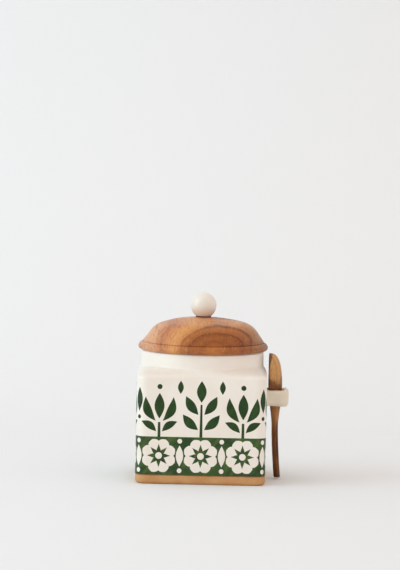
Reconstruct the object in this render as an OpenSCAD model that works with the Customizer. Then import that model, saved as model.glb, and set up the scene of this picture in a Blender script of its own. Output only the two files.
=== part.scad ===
// Square stoneware canister with a turned wooden lid, a ball knob and a scoop hung in a side loop.
// The origin is the centre of the base, on the surface that the jar stands on.
// X points to the scoop, Y to the back, Z up. All sizes are in millimetres.

/* [Jar] */
// Width of the square body, outside
body_w = 129; // [122:1:150]
// Radius of the body's four upright corners
body_corner_r = 11; // [7:1:20]
// Radius of the rounded edge round the base
base_edge_r = 4; // [2:0.5:6]
// Thickness of the body's walls
wall_t = 5; // [3.5:0.5:6]
// Thickness of the floor
floor_t = 6; // [4:0.5:9]
// Rounding of the inside between wall and floor
floor_edge_r = 6; // [3:0.5:10]
// Height at which the shoulder starts to close in
shoulder_z = 104.5; // [96:0.5:125]
// Height of the shoulder, from the body to the neck
shoulder_h = 14; // [10:0.5:20]
// How far the round neck lies inside the body's walls
neck_inset = 4.5; // [4:0.25:9]
// Thickness of the neck's wall
neck_t = 5.5; // [4:0.5:7]
// Height of the neck, from the shoulder to the lip
neck_h = 9.8; // [8:0.2:13]

/* [Scoop loop] */
// How far the loop stands out from the wall
loop_reach = 22.4; // [21.6:0.2:28]
// Thickness of the clay strap
loop_t = 5.2; // [4.9:0.1:5.8]
// Height of the strap
loop_h = 16.3; // [12:0.1:22]
// Free width of the loop between its two legs
loop_gap_w = 20; // [17:0.5:22]
// Bend radius of the strap's middle line at the two outer corners
loop_bend_r = 7; // [4:0.5:8]
// Rounding of the strap's edges
loop_edge_r = 2.3; // [0.8:0.1:2.4]

/* [Lid] */
// How far the rim bead stands out over the neck
lid_over = 5; // [3:0.25:6.5]
// Radius of the rim bead above its widest line
bead_r = 4.8; // [4:0.1:6]
// Radius of the rim bead below its widest line
bead_low_r = 2.8; // [1.5:0.1:4]
// Height of the dome over the bead
dome_h = 24.4; // [20:0.2:30]
// Radius of curvature of the dome's crown
crown_r = 175; // [140:5:230]
// Lean of the flank, from upright, in degrees
flank_lean = 34.5; // [30:0.5:38]
// Length of the flank, from the bead's groove up to the bend
flank_l = 12.4; // [8:0.2:15]
// Height of the plug under the lid
plug_h = 9; // [7.5:0.5:12]
// Gap round the plug, between it and the neck's bore
plug_gap = 1.2; // [0.8:0.1:2]
// Height of the silicone ring
seal_h = 4.4; // [3:0.2:5]
// Depth of the ring's groove in the plug
seal_groove_t = 3; // [2:0.1:4]

/* [Knob] */
// Diameter of the ball knob
knob_d = 26; // [24:0.2:32]
// Diameter of the flat on which the knob sits
knob_seat_d = 15.2; // [13:0.2:18]
// Thickness of the leather washer under the knob
knob_pad_t = 1.2; // [0.8:0.1:2.5]

/* [Knob screw] */
// Nominal diameter of the screw's thread
screw_d = 4; // [3:0.5:5]
// Length of thread inside the knob's insert
screw_grip = 9; // [7:0.5:10]
// Diameter of the screw's head
screw_head_d = 8; // [7:0.5:9]
// Height of the screw's head
screw_head_h = 2.6; // [2:0.1:3]
// Outer diameter of the steel washer
washer_d = 11; // [10:0.5:13]
// Thickness of the steel washer
washer_t = 1; // [0.6:0.1:1.5]
// Outer diameter of the threaded insert in the knob
insert_d = 8; // [7:0.2:9]
// Length of the threaded insert
insert_l = 11; // [10.5:0.5:13]

/* [Scoop] */
// Length of the handle, from its end up to where the scoop rests on the loop
handle_l = 88.5; // [78:0.5:92]
// Length of the bowl over the loop
bowl_l = 36; // [30:0.5:42]
// Width of the bowl
bowl_w = 28; // [26:0.5:34]
// Depth of the bowl over its back
bowl_depth = 13.6; // [11:0.1:13.9]
// Thickness of the bowl's back
bowl_wall = 3.4; // [2.5:0.1:4.5]
// Width of the bowl's rim
rim_w = 2.4; // [1.5:0.1:3.5]
// Width of the handle
handle_w = 8; // [6:0.2:10]
// Thickness of the handle
handle_t = 6.5; // [5:0.1:7.5]
// Height of the handle's end over the table
handle_clear = 1.5; // [1:0.1:8]
// Gap between the bowl's rim and the jar's wall
rim_gap = 2.2; // [2:0.1:3.4]
// Turn of the scoop in its loop, in degrees
scoop_turn = 4; // [0:0.5:5]

/* [Hidden] */

$fn = 96;
// Overrun of every cut past the face that it opens
cut = 1;
// Gap between pieces that come apart, where they meet at rest
seat_gap = 0.3;
// Gap round a fixed piece that is glued or cemented into another
glue_gap = 0.05;

// Depth and half height of the groove turned between the lid's bead and dome
groove_t = 0.8;
groove_half_h = 0.4;
// Angle at which the bead runs into that groove
bead_end = 77;

// Heights and radii that more than one piece follows
body_half = body_w / 2;
neck_r = body_half - neck_inset;
bore_r = neck_r - neck_t;
lid_r = neck_r + lid_over;
neck_z = shoulder_z + shoulder_h;
rim_z = neck_z + neck_h;
lid_z = rim_z + seat_gap;
bead_h = bead_low_r + bead_r * sin(bead_end) + groove_half_h;
dome_z = lid_z + bead_h;
lid_top_z = dome_z + dome_h;
knob_seat_z = lid_top_z + knob_pad_t;
loop_top_z = handle_clear + handle_l;

// Smooth step from 0 to 1, and the value at share t between two others
function ease(t) = let (s = min(max(t, 0), 1)) s * s * (3 - 2 * s);
function mix(a, b, t) = a + (b - a) * t;

// The mean of the first half of a ring's points, which lies inside the ring
function total(points, n) = n > 0 ? points[n - 1] + total(points, n - 1) : points[0] * 0;
function inside(points) = let (n = floor(len(points) / 2)) total(points, n) / n;

// A closed solid through a list of rings that turn anticlockwise as they climb. A fan round a point inside
// the first ring, and one inside the last, close its ends.
module skin(rings) {
    n = len(rings[0]);
    m = len(rings);
    sides = [for (i = [0 : m - 2], j = [0 : n - 1])
        let (a = i * n + j, b = i * n + (j + 1) % n)
        each [[a, a + n, b], [b, a + n, b + n]]];
    bottom = [for (j = [0 : n - 1]) [m * n, j, (j + 1) % n]];
    top = [for (j = [0 : n - 1]) [m * n + 1, (m - 1) * n + (j + 1) % n, (m - 1) * n + j]];
    polyhedron(points = concat([for (one = rings) each one], [inside(rings[0]), inside(rings[m - 1])]),
               faces = concat(sides, bottom, top));
}

// Jar shell

// Least radius of the inside's upright corners
inner_corner_min_r = 2;
// How far the moulded bore is smaller than the true one, which is cut after
bore_stock = 0.6;
// Share of the neck's thickness that each rounding of the lip takes
lip_share = 0.4;
// Steps of each rounding on the jar: base edge, shoulder, lip
base_steps = 4;
shoulder_steps = 9;
lip_steps = 4;
// Steps of each eighth of a ring: along the flat, round the corner
flat_steps = 6;
corner_steps = 4;

// Distance from the axis to a square of half width a and corner radius r, at angle t off a side's middle
function square_reach(t, a, r) =
    let (c = a - r)
    a * sin(t) <= c * cos(t)
        ? a / cos(t)
        : c * (cos(t) + sin(t)) + sqrt(max(0, r * r - pow(c * (cos(t) - sin(t)), 2)));

// The angles of one eighth of a ring, then of a quarter, from one side's middle to the next
corner_from = atan((body_half - body_corner_r) / body_half);
eighth = concat([for (i = [0 : flat_steps - 1]) corner_from * i / flat_steps],
                [for (i = [0 : corner_steps]) mix(corner_from, 45, i / corner_steps)]);
quarter = concat(eighth, [for (i = [len(eighth) - 2 : -1 : 1]) 90 - eighth[i]]);

// One ring of the jar: a rounded square that turns into a circle as its roundness goes from 0 to 1
function jar_ring(z, a, r, round_r = 0, roundness = 0) =
    [for (q = [0 : 3], t = quarter)
        let (reach = mix(square_reach(min(t, 90 - t), a, r), round_r, roundness))
        [reach * cos(q * 90 + t), reach * sin(q * 90 + t), z]];

module jar_shell() {
    inner_a = body_half - wall_t;
    inner_r = max(body_corner_r - wall_t, inner_corner_min_r);
    lip_r = neck_t * lip_share;
    stock_r = bore_r - bore_stock;
    inner_neck_z = neck_z - wall_t;
    bore_end_z = inner_neck_z - shoulder_h / 2;
    base_r = body_corner_r - base_edge_r / 2;
    base_a = body_half - base_edge_r;
    color("#ece4d6") difference() {
        skin(concat(
            // base edge, then the upright wall
            [for (i = [0 : base_steps]) let (t = 90 * i / base_steps)
                jar_ring(base_edge_r * (1 - cos(t)), base_a + base_edge_r * sin(t),
                         mix(base_r, body_corner_r, sin(t)))],
            // shoulder, from the rounded square to the round neck
            [for (i = [0 : shoulder_steps]) let (t = i / shoulder_steps)
                jar_ring(shoulder_z + shoulder_h * t, body_half, body_corner_r, neck_r, ease(t))],
            // lip, from the outside of the neck over to its bore
            [for (i = [0 : lip_steps]) let (t = 90 * i / lip_steps)
                jar_ring(rim_z - lip_r * (1 - sin(t)), 1, 0, neck_r - lip_r * (1 - cos(t)), 1)],
            [jar_ring(rim_z, 1, 0, stock_r, 1)],
            // inside of the neck and the shoulder
            [for (i = [0 : shoulder_steps]) let (t = i / shoulder_steps)
                jar_ring(inner_neck_z - shoulder_h * t, inner_a, inner_r, stock_r, 1 - ease(t))],
            // inside wall and floor
            [for (i = [0 : base_steps]) let (t = 90 * i / base_steps)
                jar_ring(floor_t + floor_edge_r * (1 - sin(t)), inner_a - floor_edge_r * (1 - cos(t)),
                         inner_r)]
        ));
        rotate_extrude() polygon(concat(
            [[0, bore_end_z], [bore_r, bore_end_z]],
            [for (i = [0 : lip_steps]) let (t = 90 * i / lip_steps)
                [bore_r + lip_r * (1 - cos(t)), rim_z - lip_r * (1 - sin(t))]],
            [[bore_r + lip_r, rim_z + cut], [0, rim_z + cut]]
        ));
    }
}

// Scoop loop

// Section of the strap about its middle: thickness along X, height along Y
module strap_section() {
    core_t = loop_t - 2 * loop_edge_r;
    core_h = loop_h - 2 * loop_edge_r;
    square([loop_t, core_h], center = true);
    square([core_t, loop_h], center = true);
    for (x = [-1, 1], y = [-1, 1])
        translate([x * core_t / 2, y * core_h / 2])
            circle(loop_edge_r);
}

module scoop_loop() {
    leg_y = (loop_gap_w + loop_t) / 2;
    leg_l = loop_reach - loop_t / 2 - loop_bend_r;
    bend_y = leg_y - loop_bend_r;
    color("#e9dfcc") translate([body_half, 0, loop_top_z - loop_h / 2]) {
        for (side = [-1, 1]) {
            translate([0, side * leg_y, 0])
                rotate([90, 0, 90]) linear_extrude(leg_l) strap_section();
            translate([leg_l, side * bend_y, 0])
                rotate([0, 0, side > 0 ? 0 : -90])
                    rotate_extrude(angle = 90) translate([loop_bend_r, 0]) strap_section();
        }
        translate([leg_l + loop_bend_r, bend_y, 0])
            rotate([90, 0, 0]) linear_extrude(2 * bend_y) strap_section();
    }
}

// Lid

// Gap round the screw in its clearance holes
screw_gap = 0.25;
screw_hole_r = screw_d / 2 + screw_gap;
// Floor left in the plug under the screw's washer
plug_floor_t = 4;
// Gap round the washer in its counterbore
counterbore_gap = 0.75;
// Rounding of the plug's lower edge
plug_edge_r = 1.2;
// Share of the plug's height at the middle of the ring's groove
seal_place_share = 0.5;
// Gap between the ring's lips and the neck's bore, and between the ring and its groove
seal_gap = 0.35;
// Share of the ring's half height that each lip is thick
lip_t_share = 0.55;
bead_low_steps = 6;
bead_steps = 8;
bend_steps = 10;
crown_steps = 8;

bead_centre_r = lid_r - bead_r;
groove_r = bead_centre_r + bead_r * cos(bead_end);
plug_r = bore_r - plug_gap;
seal_z = lid_z - plug_h * seal_place_share;

// The dome is a flank, a bend and a crown. The bend touches the flank, and the crown from inside.
crown_centre = [0, dome_z + dome_h - crown_r];
flank_out = [cos(flank_lean), sin(flank_lean)];
flank_top = [groove_r, dome_z] + flank_l * [-sin(flank_lean), cos(flank_lean)];
flank_off = flank_top - crown_centre;
bend_r = (crown_r * crown_r - flank_off * flank_off) / (2 * (crown_r - flank_off * flank_out));
bend_centre = flank_top - bend_r * flank_out;
bend_end = atan2(bend_centre[1] - crown_centre[1], bend_centre[0]);

function arc(centre, r, from, to, steps) =
    [for (i = [0 : steps]) let (t = mix(from, to, i / steps)) centre + r * [cos(t), sin(t)]];

module lid_dome() {
    color("#b5703f") difference() {
        rotate_extrude() polygon(concat(
            [[0, lid_z]],
            arc([lid_r - bead_low_r, lid_z + bead_low_r], bead_low_r, -90, 0, bead_low_steps),
            arc([bead_centre_r, lid_z + bead_low_r], bead_r, bead_end / bead_steps, bead_end, bead_steps - 1),
            [[groove_r - groove_t, dome_z - groove_half_h], [groove_r, dome_z]],
            arc(bend_centre, bend_r, flank_lean, bend_end, bend_steps),
            arc(crown_centre, crown_r, mix(bend_end, 90, 1 / crown_steps), 90, crown_steps - 1)
        ));
        translate([0, 0, lid_z - cut])
            cylinder(r = screw_hole_r, h = lid_top_z - lid_z + 2 * cut);
    }
}

module lid_plug() {
    plug_z = lid_z - plug_h;
    counterbore_h = plug_h - plug_floor_t;
    groove_bottom_r = plug_r - seal_groove_t;
    color("#a9673a") difference() {
        rotate_extrude() polygon(concat(
            [[0, lid_z], [0, plug_z]],
            arc([plug_r - plug_edge_r, plug_z + plug_edge_r], plug_edge_r, -90, 0, lip_steps),
            [[plug_r, seal_z - seal_h / 2], [groove_bottom_r, seal_z - seal_h / 2],
             [groove_bottom_r, seal_z + seal_h / 2], [plug_r, seal_z + seal_h / 2], [plug_r, lid_z]]
        ));
        translate([0, 0, plug_z - cut])
            cylinder(r = washer_d / 2 + counterbore_gap, h = counterbore_h + cut);
        translate([0, 0, plug_z - cut])
            cylinder(r = screw_hole_r, h = plug_h + 2 * cut);
    }
}

// A flat band in the plug's groove with two lips that lean out to the neck
module lid_seal() {
    band_r = plug_r - seal_groove_t + seal_gap;
    half_h = seal_h / 2 - seal_gap;
    lip_t = half_h * lip_t_share;
    tip_r = bore_r - seal_gap;
    root_r = plug_r - seal_groove_t / 2;
    color("#e6e2da") rotate_extrude() translate([0, seal_z]) polygon([
        [band_r, -half_h], [root_r, -half_h],
        [tip_r, -half_h + lip_t / 2], [tip_r, -half_h + lip_t],
        [root_r, 0],
        [tip_r, half_h - lip_t / 2], [tip_r, half_h],
        [root_r, half_h], [band_r, half_h]
    ]);
}

// Knob

knob_r = knob_d / 2;
knob_z = knob_seat_z + sqrt(knob_r * knob_r - pow(knob_seat_d / 2, 2));
// How deep the insert lies under the knob's flat
insert_sink = 0.4;
// Room for the screw's end behind the insert
insert_back = 0.8;

module knob() {
    color("#e8e0d2") difference() {
        translate([0, 0, knob_z]) sphere(knob_r);
        translate([0, 0, knob_seat_z - knob_d])
            cylinder(r = knob_r, h = knob_d);
        translate([0, 0, knob_seat_z - cut])
            cylinder(r = insert_d / 2 + glue_gap, h = cut + insert_sink + insert_l + insert_back);
    }
}

module knob_insert() {
    color("#c9a24e") translate([0, 0, knob_seat_z + insert_sink]) difference() {
        cylinder(d = insert_d, h = insert_l);
        translate([0, 0, -cut])
            cylinder(r = screw_d / 2 + glue_gap, h = insert_l + 2 * cut);
    }
}

module knob_pad() {
    color("#5a3a26") translate([0, 0, lid_top_z]) difference() {
        cylinder(d = knob_seat_d, h = knob_pad_t);
        translate([0, 0, -cut])
            cylinder(r = screw_hole_r, h = knob_pad_t + 2 * cut);
    }
}

// Knob screw

// Shares of the head: width, length and depth of its cross recess
cross_w_share = 0.16;
cross_l_share = 0.56;
cross_h_share = 0.6;

head_z = lid_z - plug_floor_t - washer_t;

module knob_screw() {
    color("#b9bcc0") difference() {
        union() {
            translate([0, 0, head_z - screw_head_h])
                cylinder(d = screw_head_d, h = screw_head_h);
            translate([0, 0, head_z - screw_head_h / 2])
                cylinder(d = screw_d,
                         h = knob_seat_z + insert_sink + screw_grip - head_z + screw_head_h / 2);
        }
        for (turn = [0, 90])
            rotate([0, 0, turn])
                translate([-screw_head_d * cross_l_share / 2, -screw_head_d * cross_w_share / 2,
                           head_z - screw_head_h - cut])
                    cube([screw_head_d * cross_l_share, screw_head_d * cross_w_share,
                          screw_head_h * cross_h_share + cut]);
    }
}

module screw_washer() {
    color("#c6c8ca") translate([0, 0, head_z]) difference() {
        cylinder(d = washer_d, h = washer_t);
        translate([0, 0, -cut])
            cylinder(r = screw_hole_r, h = washer_t + 2 * cut);
    }
}

// Scoop
// Its section at height h over the loop's top has a back and a front, both half ovals on one line.
// Its own x runs from the plane of the bowl's rim towards its back.

bowl_half = bowl_w / 2;
handle_half = handle_w / 2;
// Half width at the loop's top, where the heel rests on the two legs' rounded edges
seat_half = loop_gap_w / 2 + 2 * loop_edge_r - sqrt(2) * (loop_edge_r + seat_gap);
// The heel widens at 45 degrees where it rests, and eases into the bowl and the handle
heel_l = 1.5 * (bowl_half - handle_half);
heel_z = (bowl_half + handle_half) / 2 - seat_half - heel_l / 2;
// Shares of the handle's length over which it thins, and over which the heel's rim fades out
thin_share = 0.43;
fade_share = 0.16;
// Shares of the bowl's depth: middle line of the handle, and how far its end bends out
handle_mid_share = 0.515;
handle_kick_share = 0.235;
// Share of the bowl's length over which the hollow deepens
hollow_share = 0.34;
// Powers of the bowl's outline and of its back
outline_power = 5;
back_power = 2.5;
back_root = 0.35;
kick_power = 1.5;
// Width of the blunt edge where front and back meet on the handle
handle_rim_w = 0.4;
// Length and narrowing of the handle's rounded end
handle_end_l = 2;
handle_end_share = 0.85;
end_steps = 3;
section_steps = 12;

thin_l = handle_l * thin_share;
fade_l = handle_l * fade_share;

function scoop_half(h) =
    mix(handle_half, bowl_half * sqrt(1 - pow(max(h, 0) / bowl_l, outline_power)),
        ease((h - heel_z) / heel_l));
function scoop_depth(h) =
    h > 0 ? bowl_depth * pow(1 - pow(h / bowl_l, back_power), back_root)
          : mix(handle_t, bowl_depth, ease(1 + h / thin_l));
function scoop_mid(h) =
    h > 0 ? scoop_depth(h) / 2
          : mix(bowl_depth * handle_mid_share, bowl_depth / 2, ease(1 + h / thin_l))
            + bowl_depth * handle_kick_share
              * pow(max(-h - thin_l, 0) / (handle_l - thin_l), kick_power);
function scoop_hollow(h) =
    max(scoop_depth(h) - bowl_wall, 0) * ease(h / (bowl_l * hollow_share));

// Section at height h, narrowed about its middle by a share
function scoop_ring(h, narrow = 1) =
    let (mid = scoop_mid(h),
         deep = scoop_depth(h),
         line = mid * (1 - ease(1 + h / fade_l)),
         back = mid + deep / 2 - line,
         front = (h > 0 ? scoop_hollow(h) : mid - deep / 2) - line,
         half = scoop_half(h),
         rim = min(mix(handle_rim_w, rim_w, ease((h - heel_z) / heel_l)), half / 2),
         outer = [for (i = [0 : section_steps]) let (t = -90 + 180 * i / section_steps)
             [line + back * cos(t), half * sin(t)]],
         inner = [for (i = [0 : section_steps]) let (t = 90 - 180 * i / section_steps)
             [line + front * cos(t), (half - rim) * sin(t)]])
    [for (p = concat(outer, inner)) [mid + (p[0] - mid) * narrow, p[1] * narrow, h]];

handle_steps = 10;
neck_steps = 16;
bowl_steps = 18;
// The last ring lies this share of the bowl's length up, just under the tip
tip_share = 0.999;

scoop_heights = concat(
    [for (i = [1 : handle_steps]) mix(-handle_l + handle_end_l, -thin_l, i / handle_steps)],
    [for (i = [1 : neck_steps]) -thin_l * (1 - i / neck_steps)],
    [for (i = [1 : bowl_steps]) bowl_l * tip_share * sin(90 * i / bowl_steps)]);

module scoop() {
    color("#b07a45")
        translate([body_half + rim_gap, 0, loop_top_z])
            rotate([0, 0, scoop_turn])
                skin(concat(
                    [for (i = [0 : end_steps]) let (t = 90 * i / end_steps)
                        scoop_ring(-handle_l + handle_end_l * (1 - cos(t)),
                                   mix(handle_end_share, 1, sin(t)))],
                    [for (h = scoop_heights) scoop_ring(h)]));
}

jar_shell();
scoop_loop();
lid_dome();
lid_plug();
lid_seal();
knob();
knob_insert();
knob_pad();
knob_screw();
screw_washer();
scoop();
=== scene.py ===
import math

import bmesh
import bpy
from mathutils import Euler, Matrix, Vector, geometry, kdtree, noise


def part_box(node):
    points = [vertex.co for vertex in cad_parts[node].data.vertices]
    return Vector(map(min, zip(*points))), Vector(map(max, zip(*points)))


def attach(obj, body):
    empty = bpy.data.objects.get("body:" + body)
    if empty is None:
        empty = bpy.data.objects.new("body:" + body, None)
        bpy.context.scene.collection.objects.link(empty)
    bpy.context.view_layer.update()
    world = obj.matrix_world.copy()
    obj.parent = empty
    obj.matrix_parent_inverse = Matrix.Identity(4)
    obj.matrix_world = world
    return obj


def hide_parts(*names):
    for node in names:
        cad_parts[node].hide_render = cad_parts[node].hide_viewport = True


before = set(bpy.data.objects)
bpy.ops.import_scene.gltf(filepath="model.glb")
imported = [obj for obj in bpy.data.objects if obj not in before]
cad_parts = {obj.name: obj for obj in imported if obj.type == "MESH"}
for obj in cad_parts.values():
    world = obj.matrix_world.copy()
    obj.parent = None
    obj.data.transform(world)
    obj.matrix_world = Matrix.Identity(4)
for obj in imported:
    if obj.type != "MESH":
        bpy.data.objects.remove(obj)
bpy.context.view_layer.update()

# A square glazed canister with a turned wooden lid, a ball knob and a scoop in a side loop.
# Lengths are in metres. X points to the scoop, Y to the back, Z up.

MM = 0.001
# A length, in metres, that counts as none
TINY = 1e-9


# Sizes that the frame gives

JAR_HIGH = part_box("jar_shell")[1]
LOOP_LOW, LOOP_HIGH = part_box("scoop_loop")
LID_LOW, LID_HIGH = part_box("lid_dome")
PLUG_LOW, PLUG_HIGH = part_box("lid_plug")
SEAL_LOW, SEAL_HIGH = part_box("lid_seal")
KNOB_LOW, KNOB_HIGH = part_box("knob")
PAD_LOW, PAD_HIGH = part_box("knob_pad")
INSERT_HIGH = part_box("knob_insert")[1]
SCOOP_LOW, SCOOP_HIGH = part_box("scoop")

BODY_HALF = JAR_HIGH.x
RIM_Z = JAR_HIGH.z
LOOP_TOP_Z = LOOP_HIGH.z

# Sizes of the jar

CORNER_R = 11 * MM
BASE_EDGE_R = 4 * MM
WALL_T = 5 * MM
FLOOR_T = 6 * MM
FLOOR_EDGE_R = 6 * MM
NECK_R = BODY_HALF - 4.5 * MM
NECK_T = 5.5 * MM
NECK_Z = RIM_Z - 9.8 * MM
SHOULDER_H = 14 * MM
SHOULDER_Z = NECK_Z - SHOULDER_H
LIP_SHARE = 0.4
# Height of the bare foot, and how thick the glaze stands on it
FOOT_Z = 9.3 * MM
GLAZE_T = 0.3 * MM
# Greatest depth of the wall's slight unevenness, and its length
DENT_T, DENT_L = 0.25 * MM, 42 * MM
# How far the pressed walls fall back towards the corners, and where the shoulder starts and ends
BULGE_T = 0.3 * MM
SHOULDER_LOW = SHOULDER_Z - 1 * MM
SHOULDER_TOP = SHOULDER_Z + 9.8 * MM
SHOULDER_FULL = 1.55
NECK_OUT_R = NECK_R + 1.0 * MM
# Heights in which the bulge sets in
BULGE_START, BULGE_L = -2 * MM, 14 * MM
# Depth and length of the waves of the glaze's lower edge, and how fast they fade up the wall
WAVE_T, WAVE_L, WAVE_FADE = 0.35 * MM, 9 * MM, 12
# Height over the foot in which the unevenness sets in
DENT_RISE = 8 * MM
# Rings of the glaze's rolled edge, the wall and the shoulder, and across the underside and the floor
EDGE_RINGS, WALL_RINGS, SHOULDER_RINGS = 4, 48, 30
BASE_SHARES = (0.12, 0.35, 0.6, 0.8, 0.92, 0.99)
FLOOR_SHARES = (0.95, 0.8, 0.6, 0.35, 0.12)

# Length of one side of the wall, from the middle of a corner to the middle of the next
CORNER_C = BODY_HALF - CORNER_R
SIDE_L = 2 * CORNER_C + CORNER_R * math.pi / 2


# Plain mathematics

def ease(t):
    s = min(max(t, 0.0), 1.0)
    return s * s * (3 - 2 * s)


def mix(a, b, t):
    return a + (b - a) * t


def shares(count):
    """The values from 0 to 1 in equal steps, both ends included."""
    return [i / count for i in range(count + 1)]


def arc(centre, r, start, end, steps):
    """Points of an arc in a plane, with its angles in degrees."""
    turns = [math.radians(mix(start, end, t)) for t in shares(steps)]
    return [Vector((centre[0] + r * math.cos(a), centre[1] + r * math.sin(a))) for a in turns]


def quarter(steps):
    """A quarter turn in equal steps: the share, sine and cosine of each."""
    return [(t, math.sin(t * math.pi / 2), math.cos(t * math.pi / 2)) for t in shares(steps)]


def rounded(points, radii, steps=5):
    """A profile with its inner corners rounded, by one radius for each point."""
    line = [Vector(p) for p in points]
    made = []
    for i, (point, r) in enumerate(zip(line, radii)):
        if r <= 0 or i in (0, len(line) - 1):
            made.append(point)
            continue
        before = (line[i - 1] - point).normalized()
        after = (line[i + 1] - point).normalized()
        half = before.angle(after) / 2
        reach = r / math.tan(half)
        start, end = point + before * reach, point + after * reach
        for t in shares(steps):
            near, far = start.lerp(point, t), point.lerp(end, t)
            made.append(near.lerp(far, t))
    return made


# Meshes

def linked(name, data):
    made = bpy.data.objects.new(name, data)
    bpy.context.scene.collection.objects.link(made)
    return made


def piece(name, vertices, faces, sharp=None):
    """A smooth mesh object. Edges over the sharp angle, in degrees, stay sharp."""
    mesh = bpy.data.meshes.new(name)
    mesh.from_pydata([tuple(v) for v in vertices], [], faces)
    mesh.validate()
    mesh.shade_smooth()
    if sharp:
        mesh.set_sharp_from_angle(angle=math.radians(sharp))
    return linked(name, mesh)


def outward(made):
    """Turns the faces of a closed mesh outward."""
    work = bmesh.new()
    work.from_mesh(made.data)
    bmesh.ops.recalc_face_normals(work, faces=work.faces)
    work.to_mesh(made.data)
    work.free()
    return made


def skin(rings):
    """The points of equal rings, and the faces between each ring and the next."""
    n = len(rings[0])
    faces = [(i * n + j, i * n + (j + 1) % n, (i + 1) * n + (j + 1) % n, (i + 1) * n + j)
             for i in range(len(rings) - 1) for j in range(n)]
    return [p for ring in rings for p in ring], faces


def fan(vertices, faces, centre, first, n):
    """Adds a centre and the triangles round it, to the n points from first on."""
    vertices.append(centre)
    faces += [(len(vertices) - 1, first + j, first + (j + 1) % n) for j in range(n)]


def loft(name, rings, sharp=None):
    """A closed skin through rings, with a fan over each end."""
    n = len(rings[0])
    vertices, faces = skin(rings)
    for ring, first in ((rings[0], 0), (rings[-1], (len(rings) - 1) * n)):
        fan(vertices, faces, sum((Vector(p) for p in ring), Vector()) / n, first, n)
    return outward(piece(name, vertices, faces, sharp))


def turned(name, profile, steps=192, sharp=None, wobble=None):
    """A profile of (radius, height) turned about Z. It ends on the axis, or else closes on itself."""
    on_axis = profile[0][0] < TINY and profile[-1][0] < TINY
    turns = [2 * math.pi * j / steps for j in range(steps)]
    rings = [[Vector((r * math.cos(a), r * math.sin(a), z)) for a in turns]
             for r, z in (profile[1:-1] if on_axis else profile)]
    vertices, faces = skin(rings)
    last = (len(rings) - 1) * steps
    if on_axis:
        fan(vertices, faces, Vector((0, 0, profile[0][1])), 0, steps)
        fan(vertices, faces, Vector((0, 0, profile[-1][1])), last, steps)
    else:
        faces += [(last + j, last + (j + 1) % steps, (j + 1) % steps, j) for j in range(steps)]
    if wobble:
        vertices = [v + wobble(v) for v in vertices]
    return outward(piece(name, vertices, faces, sharp))


def lathed(name, points, radii, steps, sharp):
    """A turned piece from its corners and their radii, in millimetres."""
    return turned(name, rounded(points, [r * MM for r in radii]), steps, sharp)


def dress(made, body, materials, replaced=()):
    """Gives a piece its materials and body, and hides the nodes that it stands for."""
    for one in materials:
        made.data.materials.append(one)
    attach(made, body)
    if replaced:
        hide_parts(*replaced)
    return made


# Node graphs

def linear(red, green, blue):
    """A display colour, 0 to 255, as the linear colour of a shader."""
    def one(value):
        c = value / 255
        return c / 12.92 if c <= 0.04045 else ((c + 0.055) / 1.055) ** 2.4
    return (one(red), one(green), one(blue), 1.0)


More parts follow.
